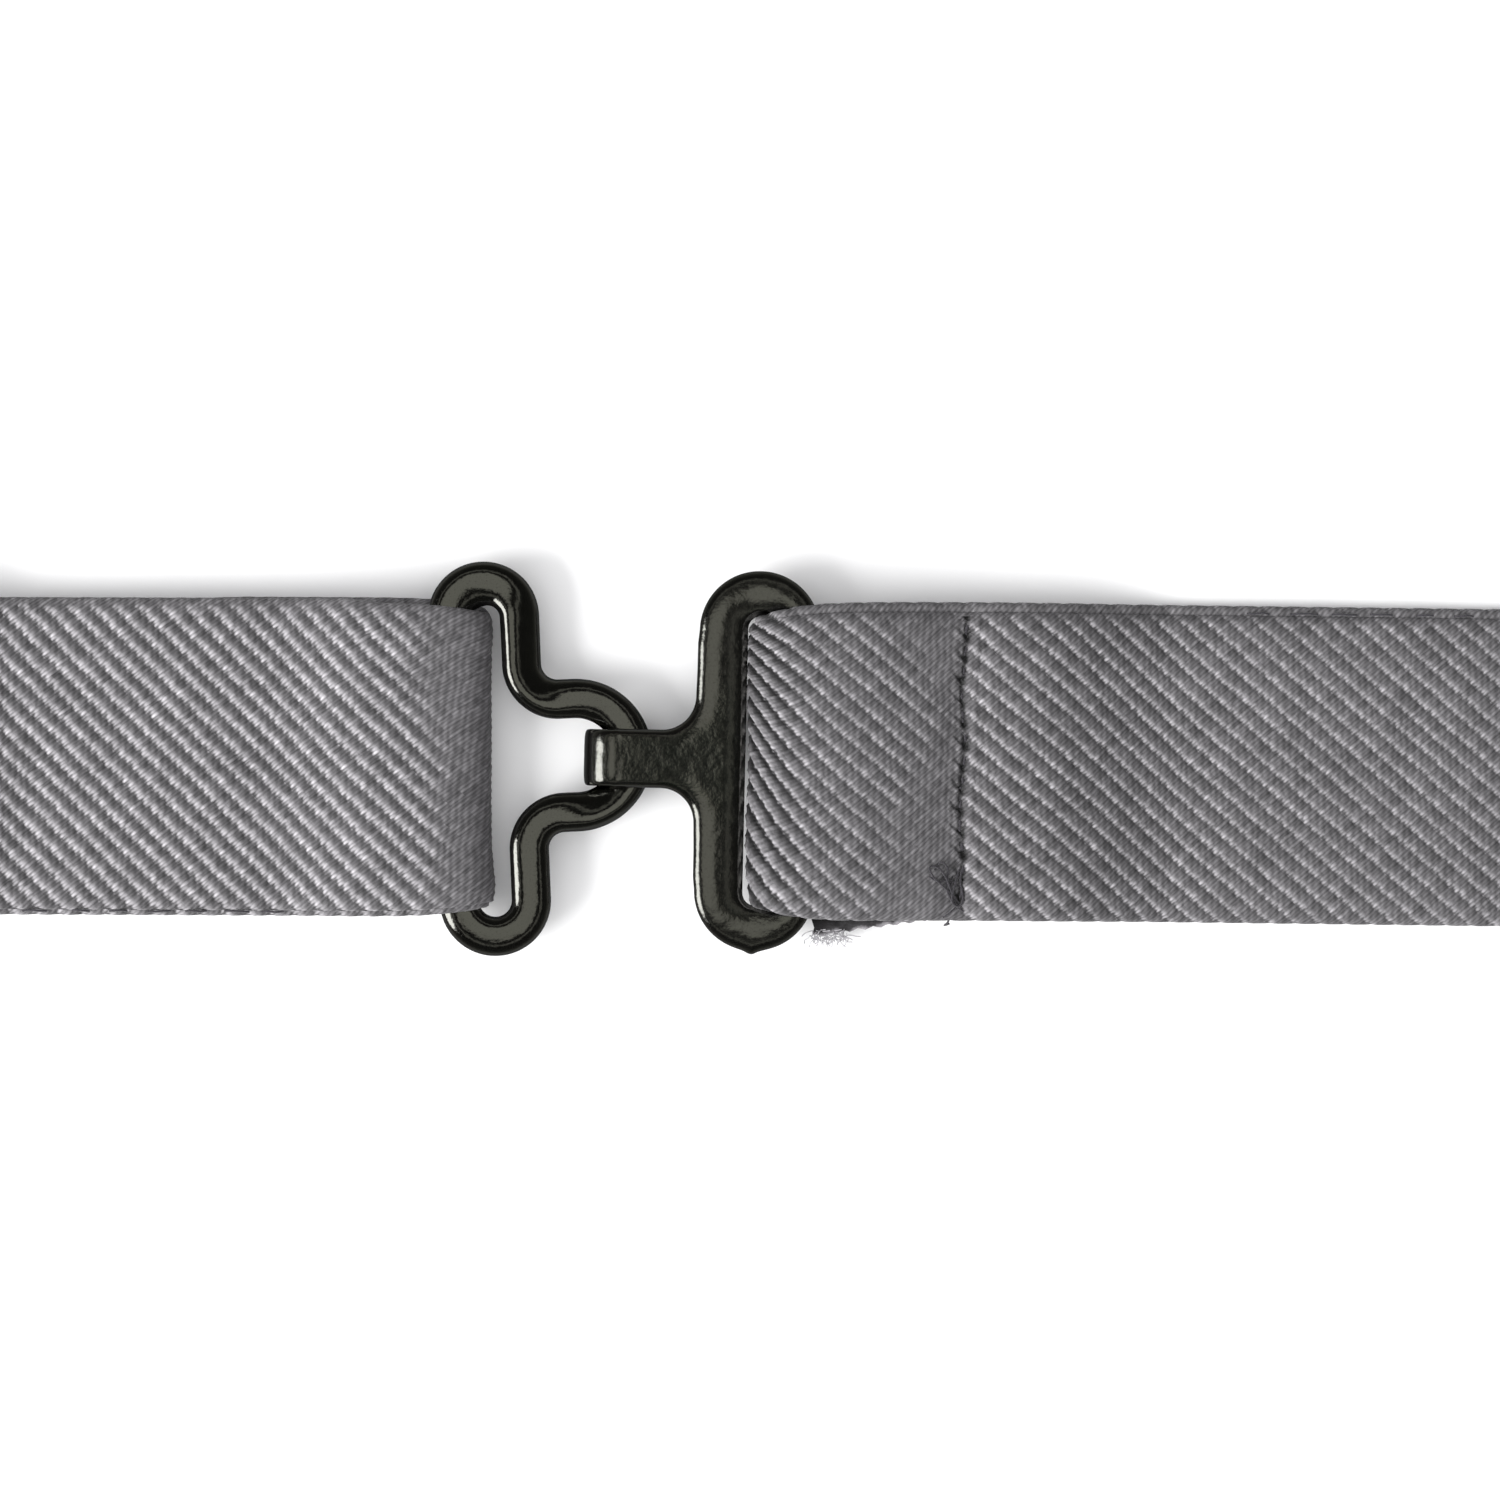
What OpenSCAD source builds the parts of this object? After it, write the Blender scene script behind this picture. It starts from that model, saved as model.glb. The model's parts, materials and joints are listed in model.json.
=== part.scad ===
// Hook-and-eye neckband clasp of a bow tie: an adjustable band end looped through an eye,
// and a sewn band end looped round the rear bar of a T-hook. +X runs along the band towards
// the sewn end, +Y is the band's upper edge, +Z is the face side. Z = 0 is the resting plane.

/* [Band] */
// Width of the silk band
band_w = 19; // [18.5:0.1:19.4]
// Thickness of the band: two silk plies with interlining between
band_t = 1.2; // [1.1:0.05:1.2]
// Half of the whole length, from the middle to either cut end
half_len = 88; // [84:1:110]
// Width of the band where it is gathered inside the hardware
fold_w = 16.4; // [15:0.1:16.6]
// Thickness of the interlining inside the silk
lining_t = 0.5; // [0.3:0.05:0.6]

/* [Eye] */
// Width of the eye's wire, seen from the face side
wire_w = 2.4; // [2:0.1:2.4]
// Thickness of the eye's wire
wire_t = 1.4; // [1.2:0.05:1.4]
// Half of the distance between the centres of the end lobes
lobe_y = 8.46; // [8.46:0.02:8.8]
// Radius of the wire's centreline in lobes and shoulders
lobe_r = 2.16; // [2:0.02:2.2]
// Radius of the wire's centreline in the nose
nose_r = 3.4; // [3.3:0.05:3.6]
// Tilt of the eye in the plane of the band, degrees
eye_yaw = 2.4; // [0:0.1:3]

/* [Hook] */
// Thickness of the hook's plate and tongue
hook_t = 0.8; // [0.7:0.05:0.8]
// Half of the distance between the centres of the plate's end lobes
hook_lobe_y = 7.76; // [7.6:0.02:7.9]
// Outer radius of the plate's end lobes
hook_lobe_r = 3.5; // [3.4:0.05:3.6]
// Width of the tongue
tongue_w = 3.36; // [3:0.02:3.4]
// Tilt of the hook in the plane of the band, degrees
hook_yaw = -1.3; // [-2:0.1:0]
// Rise of the tongue over the eye's nose, degrees
hook_pitch = 6; // [6:0.1:6.4]

/* [Adjuster] */
// Place of the adjuster along the band
adjuster_x = -56; // [-58:0.5:-55]
// Radius of the adjuster's three bars
bar_r = 0.5; // [0.4:0.05:0.5]
// Distance from the centre bar to each outer bar
bar_gap = 5.8; // [5:0.1:6]

/* [Sewing] */
// Pitch of the stitches in the seams
stitch_pitch = 1.3; // [1:0.1:1.5]
// Thickness of the sewing thread
thread_t = 0.15; // [0.1:0.01:0.15]

/* [Hidden] */
$fn = 48;
SILK = "#7c7a7f";
LINING = "#d8d4cc";
METAL = "#33342f";
THREAD = "#4a484e";
over = 0.01;
// The eye's bar: its axis crosses the band at EYE_BAR and lies eye_bar_x from the eye's centre
EYE_CENTRE = [-7.62, -0.03, 2.15];
eye_bar_x = -2;
eye_bar_r = wire_t / 2;
eye_loop_r = 1.55;
EYE_LOOP = [-9.47, 0, 2.15];
shoulder_y = 5.56;
nose_x = 5.2;
// The hook's bar: the hook is drawn from it, with the tongue along -X
HOOK_BAR = [10.96, -0.265, 2.37];
hook_bar_r = 0.6;
hook_lobe_x = -2.44;
slot_front = -3.24;
plate_front = -6.02;
slot_half = 8.75;
slot_corner = 0.5;
neck_fillet = 2;
curl_gap = 1.71;
curl_x = -11.1;
lip_len = 2.6;
hook_loop_r = 1.45;
HOOK_LOOP = [10.2, 0, 2.37];
hook_fold_w = 16.8;
// Heights of the centreline of the band above the resting plane
lay_z = band_t / 2;
stack_z = 2.2;
slide_z = 4.45;
// Where the full width of the band starts beside the lobes of the eye and the hook
left_wide_x = -11.7;
right_wide_x = 12.7;
return_end_x = -60;
// The sewn end: seam line, turned-under layer, hem and main layer
seam_x = 20.7;
hem_t = 0.6;
turned_z = HOOK_LOOP.z - hook_loop_r;
hem_z = turned_z + band_t / 2;
main_z = hem_z + hem_t + band_t / 2;
hem_fold_x = 22;
hem_raw_x = 13;
hem_skew = 6;
seam_count = 13;
hole_past = 0.1;
// The adjuster: centre bar in the sewn tape end, outer bars on the face of the band
tape_t = 0.6;
centre_z = 2.6;
outer_z = slide_z + band_t / 2 + 0.1 + bar_r;
rail_y = 10.6;
rail_w = 1.2;
rail_t = 1.1;
tape_loop_r = bar_r + 0.05 + tape_t / 2;
tape_low_z = centre_z - tape_loop_r;
tape_row_x = 6;

LEFT_TOP = [[-half_len, lay_z], [-84, lay_z], [-70, slide_z], [-42.5, slide_z],
            [-36.5, stack_z], [-20, stack_z], [-13.2, EYE_CENTRE.z + eye_loop_r],
            [left_wide_x, EYE_CENTRE.z + eye_loop_r]];
LEFT_RETURN = [[return_end_x, lay_z], [left_wide_x, lay_z]];
RIGHT_MAIN = [[right_wide_x, HOOK_LOOP.z + hook_loop_r], [14, HOOK_LOOP.z + hook_loop_r],
              [19, main_z], [22.4, main_z], [34, lay_z], [half_len, lay_z]];
RIGHT_TURNED = [[right_wide_x, turned_z], [hem_fold_x, turned_z]];

// The left normal of the stretch that ends at point i, or of the first stretch
function normal_at(points, i) =
    let (k = min(max(i, 1), len(points) - 1), run = points[k] - points[k - 1])
    [-run.y, run.x] / norm(run);

// Where the edge of a ribbon lies beside point i, at a distance d, with mitred corners
function edge_at(points, i, d) =
    let (before = normal_at(points, i), sum = before + normal_at(points, i + 1))
    points[i] + sum * d / (sum * before);

// A ribbon of the given thickness along a list of points, as a flat shape
module ribbon(points, t) {
    last = len(points) - 1;
    polygon([for (i = [0 : last]) edge_at(points, i, t / 2),
             for (i = [last : -1 : 0]) edge_at(points, i, -t / 2)]);
}

// Half of a ring of centreline radius r and thickness t, on its +X side
module half_loop(r, t) {
    intersection() {
        difference() {
            circle(r = r + t / 2);
            circle(r = r - t / 2);
        }
        translate([0, -2 * r]) square([4 * r, 4 * r]);
    }
}

// The end of a band that turns back on itself, with a straight stretch on both sides
module turned_end(r, t, straight) {
    half_loop(r, t);
    for (side = [-1, 1]) translate([-straight, side * r - t / 2]) square([straight, t]);
}

// Stands a flat shape up in the X-Z plane and gives it a width along Y
module across(w) {
    rotate([90, 0, 0]) linear_extrude(height = w, center = true) children();
}

// Places of the eye, and of the hook's bar
module at_eye() {
    translate(EYE_CENTRE) rotate([0, 0, eye_yaw]) children();
}
module at_hook_bar() {
    translate(HOOK_BAR) rotate([0, 0, hook_yaw]) children();
}

// The left band from its cut end, round the eye's bar and back underneath
module left_run(w, w_fold, t) {
    across(w) {
        ribbon(LEFT_TOP, t);
        ribbon(LEFT_RETURN, t);
    }
    translate(EYE_LOOP) across(w_fold) turned_end(eye_loop_r, t, EYE_LOOP.x - left_wide_x + 0.5);
}

// The right band from its cut end, round the hook's bar and back to the hem
module right_run(w, w_fold, t) {
    across(w) {
        ribbon(RIGHT_MAIN, t);
        ribbon(RIGHT_TURNED, t);
    }
    translate(HOOK_LOOP) across(w_fold) mirror([1, 0])
        turned_end(hook_loop_r, t, right_wide_x - HOOK_LOOP.x + 0.5);
}

// The interlining's shape, which is also the hollow inside the silk
module left_core() {
    left_run(band_w - 1.4, fold_w - 1.2, lining_t);
}
module right_core() {
    right_run(band_w - 1.4, hook_fold_w - 1.2, lining_t);
}

module left_silk_band() {
    color(SILK) difference() {
        left_run(band_w, fold_w, band_t);
        left_core();
    }
}

module left_interlining() {
    color(LINING) left_core();
}

// Short stitches along the closed edge of the band, between two places along X
module edge_stitches(from, to, y, z) {
    step = 2 * stitch_pitch;
    for (x = [from : step : to]) translate([x, y, z - 0.15]) cube([1.4, thread_t, 0.3]);
}

module left_slip_stitches() {
    color(THREAD) edge_stitches(-35.5, -22, -band_w / 2 - thread_t, stack_z);
}

// Overcast stitches beside a cut end: dir is -1 at the left end and 1 at the right
module overcast(dir) {
    for (i = [-5 : 5]) translate([dir * (half_len - 0.8), i * 1.6, band_t + thread_t / 2])
        cube([1.6, 0.3, thread_t], center = true);
}

module left_end_overcast() {
    color(THREAD) overcast(-1);
}

// Three-bar slide: the centre bar is dropped, so that the band passes straight over it
module adjuster_slide() {
    rail = [[-bar_gap, outer_z], [-3.6, outer_z], [-1.3, centre_z], [1.3, centre_z],
            [3.6, outer_z], [bar_gap, outer_z]];
    color(METAL) translate([adjuster_x, 0, 0]) {
        for (side = [-1, 1]) translate([0, side * rail_y, 0]) across(rail_w) {
            ribbon(rail, rail_t);
            for (end = [-1, 1]) translate([end * bar_gap, outer_z]) circle(d = rail_t);
        }
        for (bar = [[-bar_gap, outer_z], [0, centre_z], [bar_gap, outer_z]])
            translate([bar.x, 0, bar.y]) rotate([90, 0, 0])
                cylinder(r = bar_r, h = 2 * rail_y, center = true);
    }
}

// The row of stitches that closes a loop of tape: bars on both faces, joined by legs
module stitch_row(count, low_z, high_z) {
    span = count * stitch_pitch;
    for (i = [0 : count]) translate([0, i * stitch_pitch - span / 2, low_z])
        cylinder(r = 0.12, h = high_z - low_z, $fn = 16);
}
module stitch_bars(count, low_z, high_z) {
    span = count * stitch_pitch + 0.4;
    for (z = [low_z - thread_t, high_z]) translate([-0.15, -span / 2, z])
        cube([0.3, span, thread_t]);
}

module adjuster_row(past = 0) {
    translate([adjuster_x + tape_row_x, 0, 0])
        stitch_row(seam_count, tape_low_z - tape_t / 2 - past, tape_low_z + 1.5 * tape_t + past);
}

// The band's far end, looped round the adjuster's centre bar and sewn to itself
module adjuster_tape_end() {
    upper = [[0, centre_z + tape_loop_r], [1.2, centre_z + tape_loop_r],
             [3.4, tape_low_z + tape_t], [8.2, tape_low_z + tape_t]];
    color(SILK) difference() {
        translate([adjuster_x, 0, 0]) across(band_w) {
            translate([0, centre_z]) mirror([1, 0]) half_loop(tape_loop_r, tape_t);
            ribbon([[0, tape_low_z], [9, tape_low_z]], tape_t);
            ribbon(upper, tape_t);
        }
        adjuster_row(hole_past);
    }
}

module adjuster_tape_stitches() {
    color(THREAD) {
        adjuster_row();
        translate([adjuster_x + tape_row_x, 0, 0])
            stitch_bars(seam_count, tape_low_z - tape_t / 2, tape_low_z + 1.5 * tape_t);
    }
}

// The section of the eye's wire: flat faces and round edges
module wire_section() {
    square([wire_w - wire_t, wire_t], center = true);
    for (side = [-1, 1]) translate([side * (wire_w - wire_t) / 2, 0]) circle(d = wire_t);
}
module wire_arc(centre, r, from, sweep) {
    translate([centre.x, centre.y, 0]) rotate([0, 0, from]) rotate_extrude(angle = sweep)
        translate([r, 0]) wire_section();
}
module wire_run(from, to) {
    run = to - from;
    translate([from.x, from.y, 0]) rotate([0, 0, atan2(run.y, run.x)]) rotate([90, 0, 90])
        linear_extrude(height = norm(run)) wire_section();
}

module eye() {
    shoulder_x = 2 * lobe_r;
    color(METAL) at_eye() {
        translate([eye_bar_x, 0, 0]) rotate([90, 0, 0])
            cylinder(r = eye_bar_r, h = 2 * lobe_y + 0.6, center = true);
        for (side = [0, 1]) mirror([0, side, 0]) {
            wire_arc([0, lobe_y], lobe_r, 0, 180);
            wire_run([lobe_r, shoulder_y], [lobe_r, lobe_y]);
            wire_arc([shoulder_x, shoulder_y], lobe_r, 180, 90);
            wire_run([shoulder_x, nose_r], [nose_x, nose_r]);
        }
        wire_arc([nose_x, 0], nose_r, -90, 180);
    }
}

// Outline of the hook's plate with its tongue, drawn from the rear bar
module plate_outline() {
    difference() {
        union() {
            for (side = [-1, 1]) translate([hook_lobe_x, side * hook_lobe_y])
                circle(r = hook_lobe_r);
            translate([plate_front, -hook_lobe_y])
                square([slot_front - plate_front, 2 * hook_lobe_y]);
            translate([curl_x, -tongue_w / 2]) square([plate_front - curl_x + over, tongue_w]);
            for (side = [-1, 1]) neck(side);
        }
        translate([slot_front + slot_corner, -slot_half])
            square([12, 2 * slot_half]);
        translate([slot_front, slot_corner - slot_half])
            square([2, 2 * (slot_half - slot_corner)]);
        for (side = [-1, 1])
            translate([slot_front + slot_corner, side * (slot_half - slot_corner)])
                circle(r = slot_corner);
    }
}
// The hollow fillet between the tongue and the front bar
module neck(side) {
    scale([1, side]) translate([plate_front - neck_fillet, tongue_w / 2]) difference() {
        square([neck_fillet + over, neck_fillet]);
        translate([0, neck_fillet]) circle(r = neck_fillet);
    }
}

module hook() {
    curl_r = (curl_gap + hook_t) / 2;
    color(METAL) at_hook_bar() rotate([0, hook_pitch, 0]) {
        rotate([90, 0, 0]) cylinder(r = hook_bar_r, h = 2 * slot_half + 0.8, center = true);
        translate([0, 0, -hook_t / 2]) linear_extrude(height = hook_t) plate_outline();
        translate([curl_x, 0, 0]) across(tongue_w) {
            translate([0, -curl_r]) mirror([1, 0]) half_loop(curl_r, hook_t);
            translate([0, -2 * curl_r - hook_t / 2]) square([lip_len, hook_t]);
            translate([lip_len, -2 * curl_r]) circle(d = hook_t);
        }
    }
}

// The legs of the cross seam through the main layer, the hem and the turned layer, and its
// needle holes, which run past both faces
module seam_row(past = 0) {
    translate([seam_x, 0, 0])
        stitch_row(seam_count, turned_z - band_t / 2 - past, main_z + band_t / 2 + past);
}

module right_silk_band() {
    color(SILK) difference() {
        right_run(band_w, hook_fold_w, band_t);
        right_core();
        seam_row(hole_past);
    }
}

module right_interlining() {
    color(LINING) difference() {
        right_core();
        seam_row(hole_past);
    }
}

// The raw end, turned back between the layers a little askew, so that a corner looks out
module right_turned_hem() {
    color(SILK) difference() {
        union() {
            translate([hem_raw_x, -band_w / 2, hem_z])
                cube([hem_fold_x - hem_raw_x, band_w - 0.6, hem_t]);
            translate([hem_raw_x, -band_w / 2 - 0.9, hem_z]) intersection() {
                cube([6.5, 2, hem_t]);
                rotate([0, 0, hem_skew]) cube([10, 3, hem_t]);
            }
            translate([hem_fold_x, 0, 0]) across(band_w - 0.6) intersection() {
                translate([0, hem_z]) circle(r = hem_t);
                translate([0, hem_z - hem_t]) square([hem_t, 2 * hem_t]);
            }
        }
        seam_row(hole_past);
    }
}

module right_cross_seam() {
    color(THREAD) {
        seam_row();
        translate([seam_x, 0, 0])
            stitch_bars(seam_count, turned_z - band_t / 2, main_z + band_t / 2);
    }
}

// The knot that ends the cross seam, with the thread's short tail
module seam_knot() {
    top = main_z + band_t / 2;
    color(THREAD) translate([19.7, -7.6, top]) {
        intersection() {
            sphere(r = 0.7);
            translate([-1, -1, 0]) cube([2, 2, 1]);
        }
        translate([-0.1, -1.8, 0]) cube([0.2, 1.6, thread_t]);
    }
}

module right_slip_stitches() {
    color(THREAD) edge_stitches(38, half_len - 3, band_w / 2, lay_z);
}

module right_end_overcast() {
    color(THREAD) overcast(1);
}

left_silk_band();
left_interlining();
left_slip_stitches();
left_end_overcast();
adjuster_slide();
adjuster_tape_end();
adjuster_tape_stitches();
eye();
hook();
right_silk_band();
right_interlining();
right_turned_hem();
right_cross_seam();
seam_knot();
right_slip_stitches();
right_end_overcast();
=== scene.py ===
import json
import math
import random

import bmesh
import bpy
import numpy as np
from mathutils import Matrix, Vector, kdtree, noise

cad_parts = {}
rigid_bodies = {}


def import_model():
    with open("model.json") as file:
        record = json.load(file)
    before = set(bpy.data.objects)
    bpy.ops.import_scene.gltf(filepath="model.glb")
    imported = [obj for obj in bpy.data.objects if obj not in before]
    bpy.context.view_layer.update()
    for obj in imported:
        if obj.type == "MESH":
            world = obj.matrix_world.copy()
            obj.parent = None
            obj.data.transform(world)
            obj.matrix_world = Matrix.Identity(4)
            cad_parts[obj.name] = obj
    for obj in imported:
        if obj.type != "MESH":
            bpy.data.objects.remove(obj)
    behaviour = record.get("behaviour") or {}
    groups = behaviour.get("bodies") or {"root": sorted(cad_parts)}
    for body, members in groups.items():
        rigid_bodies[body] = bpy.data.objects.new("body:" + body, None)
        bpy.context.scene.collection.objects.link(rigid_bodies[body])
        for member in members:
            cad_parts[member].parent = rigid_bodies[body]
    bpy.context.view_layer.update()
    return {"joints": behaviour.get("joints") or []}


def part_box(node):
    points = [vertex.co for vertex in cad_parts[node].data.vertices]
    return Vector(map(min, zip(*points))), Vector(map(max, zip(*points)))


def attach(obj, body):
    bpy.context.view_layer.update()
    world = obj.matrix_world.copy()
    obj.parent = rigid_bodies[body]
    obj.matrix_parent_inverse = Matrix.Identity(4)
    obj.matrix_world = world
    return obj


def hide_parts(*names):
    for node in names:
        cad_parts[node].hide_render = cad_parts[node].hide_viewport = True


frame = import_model()
JOINTS = {joint["name"]: joint for joint in frame["joints"]}

MM = 0.001                      # every shape below is worked out in millimetres
MERGE_MM = 0.002
BAND_HALF_W = 9.5               # the silk band
BAND_HALF_T = 0.58
RIB_PITCH = 1.0                 # across the ribs
RIB_HEIGHT = 0.105
BAND_END_X = 88.0               # where both bands are cut off
SEAM_X = 20.7                   # the cross seam of the sewn end
SEAM_LOW_Y = -8.45
STITCH_PITCH = 1.3
HEM_X, HEM_SLOPE = 11.7, 0.145  # the corner of the ply turned back below the right band
WHOLE_TURN = 2 * math.pi
# A rib's relief at these shares of its pitch: a groove, a lit flank, a back and a drop
RIB_STEPS = (0.0, 0.1, 0.2, 0.32, 0.46, 0.62, 0.8, 0.92)
BROAD_RIB = (0.0, 0.3, 0.64, 0.92, 1.0, 0.8, 0.45, 0.16)
NARROW_RIB = (0.0, 0.4, 0.85, 1.0, 0.93, 0.84, 0.7, 0.38)


# -------- small helpers

def smoothstep(a, b, x):
    """0 on a's side and 1 on b's side, with an eased slope between."""
    t = np.clip((x - a) / (b - a), 0.0, 1.0)
    return t * t * (3 - 2 * t)


def bump(x, centre, width):
    """A bell curve that is 1 at its centre."""
    return np.exp(-((x - centre) / width) ** 2)


def unit(rows):
    """Vectors made one long, each a row."""
    return rows / np.linalg.norm(rows, axis=1)[:, None]


def linked(name, data):
    """A new object in the scene."""
    holder = bpy.data.objects.new(name, data)
    bpy.context.scene.collection.objects.link(holder)
    return holder


def new_object(name, verts_mm, faces, uv=None, smooth=True):
    """A mesh object at the origin, from points in millimetres and named (u, v) pairs a vertex."""
    mesh = bpy.data.meshes.new(name)
    mesh.from_pydata((np.asarray(verts_mm, float) * MM).tolist(), [], faces)
    index = np.empty(len(mesh.loops), int)
    mesh.loops.foreach_get("vertex_index", index)
    for layer_name, values in (uv or {}).items():
        layer = mesh.uv_layers.new(name=layer_name)
        layer.data.foreach_set("uv", np.asarray(values, float)[index].ravel())
    mesh.polygons.foreach_set("use_smooth", [smooth] * len(mesh.polygons))
    mesh.validate()
    return linked(name, mesh)


def grid_faces(rows, cols, close_rows=False, close_cols=False):
    """Quads over a grid of points stored row by row."""
    faces = []
    for r in range(rows if close_rows else rows - 1):
        for c in range(cols if close_cols else cols - 1):
            r2, c2 = (r + 1) % rows, (c + 1) % cols
            faces.append((r * cols + c, r * cols + c2, r2 * cols + c2, r2 * cols + c))
    return faces


def tube_faces(rows, cols):
    """The faces of a tube whose rings are the rows, with a cap on each end."""
    caps = [tuple(range(cols))[::-1], tuple(range((rows - 1) * cols, rows * cols))]
    return grid_faces(rows, cols, close_cols=True) + caps


def tidy_mesh(piece):
    """Merges points that fell together."""
    work = bmesh.new()
    work.from_mesh(piece.data)
    bmesh.ops.remove_doubles(work, verts=work.verts, dist=MERGE_MM * MM)
    bmesh.ops.dissolve_degenerate(work, edges=work.edges, dist=MERGE_MM * MM)
    work.to_mesh(piece.data)
    work.free()


def sweep(points, section, closed=False, up=(0, 0, 1), roll=None, inner=None):
    """Points and faces of a section of (side, up) pairs carried along a path in millimetres;
    roll leans the section at each point, and inner widens its positive side."""
    p = np.asarray(points, float)
    tangent = unit(np.roll(p, -1, 0) - np.roll(p, 1, 0) if closed else np.gradient(p, axis=0))
    side = unit(np.cross(tangent, up))
    top = np.cross(side, tangent)
    if roll is not None:
        c, s = np.cos(roll)[:, None], np.sin(roll)[:, None]
        side, top = side * c + top * s, top * c - side * s
    section = np.asarray(section, float)
    across = np.repeat(section[None, :, 0], len(p), 0)
    if inner is not None:
        across = np.where(across > 0, across * inner[:, None], across)
    verts = (p[:, None, :] + across[:, :, None] * side[:, None, :]
             + section[None, :, 1:] * top[:, None, :]).reshape(-1, 3)
    if closed:
        return verts, grid_faces(len(p), len(section), close_rows=True, close_cols=True)
    faces = tube_faces(len(p), len(section))
    return verts, faces[:-2] + [cap[::-1] for cap in faces[-2:]]


def join_parts(parts):
    """One list of points and faces from several."""
    verts, faces, count = [], [], 0
    for part_verts, part_faces in parts:
        verts.append(np.asarray(part_verts, float))
        faces += [tuple(i + count for i in face) for face in part_faces]
        count += len(part_verts)
    return np.concatenate(verts), faces


def squared(wave, power):
    """A sine or cosine for a superellipse: power 2 is an ellipse, and higher ones are squarer."""
    return np.sign(wave) * np.abs(wave) ** (2 / power)


def superellipse(half_w, half_t, power, count):
    """A rounded section, as (side, up) pairs."""
    angles = np.linspace(0, WHOLE_TURN, count, endpoint=False)
    return np.stack([half_w * squared(np.cos(angles), power), half_t * squared(np.sin(angles), power)], 1)


def arc(cx, cy, r, start, end, count):
    """Points on a circle, from one angle in degrees to another."""
    angles = np.radians(np.linspace(start, end, count))
    return [(cx + r * math.cos(a), cy + r * math.sin(a)) for a in angles]


def tube(points, radius, sides):
    """A thin thread along given points, smoothed."""
    # A slanted up direction, which no thread runs along
    return sweep(spline(points, 6), superellipse(radius, radius, 2, sides), up=(0.13, 0.21, 0.97))


def spline(points, steps):
    """Catmull-Rom curve through the points."""
    p = np.asarray(points, float)
    p = np.concatenate([[2 * p[0] - p[1]], p, [2 * p[-1] - p[-2]]])
    out = []
    for a, b, c, d in zip(p, p[1:], p[2:], p[3:]):
        for t in np.arange(steps) / steps:
            out.append(0.5 * (2 * b + (c - a) * t + (2 * a - 5 * b + 4 * c - d) * t ** 2
                              + (3 * b - a - 3 * c + d) * t ** 3))
    out.append(p[-2])
    return np.array(out)


def finish_piece(piece, body, nodes, material):
    """Gives a piece its look and the body it moves with, and hides the CAD nodes that it stands for."""
    piece.data.materials.append(material)
    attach(piece, body)
    if nodes:
        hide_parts(*nodes)


# -------- node materials

class Value:
    """The output of a node, which adds and multiplies like a plain number."""

    def __init__(self, nodes, socket):
        self.nodes, self.socket = nodes, socket

    def __add__(self, other):
        return self.nodes.math("ADD", self, other)

    def __mul__(self, other):
        return self.nodes.math("MULTIPLY", self, other)

    def __sub__(self, other):
        return self.nodes.math("SUBTRACT", self, other)

    def __rsub__(self, other):
        return self.nodes.math("SUBTRACT", other, self)

    def __truediv__(self, other):
        return self.nodes.math("DIVIDE", self, other)

    __radd__, __rmul__ = __add__, __mul__


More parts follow.
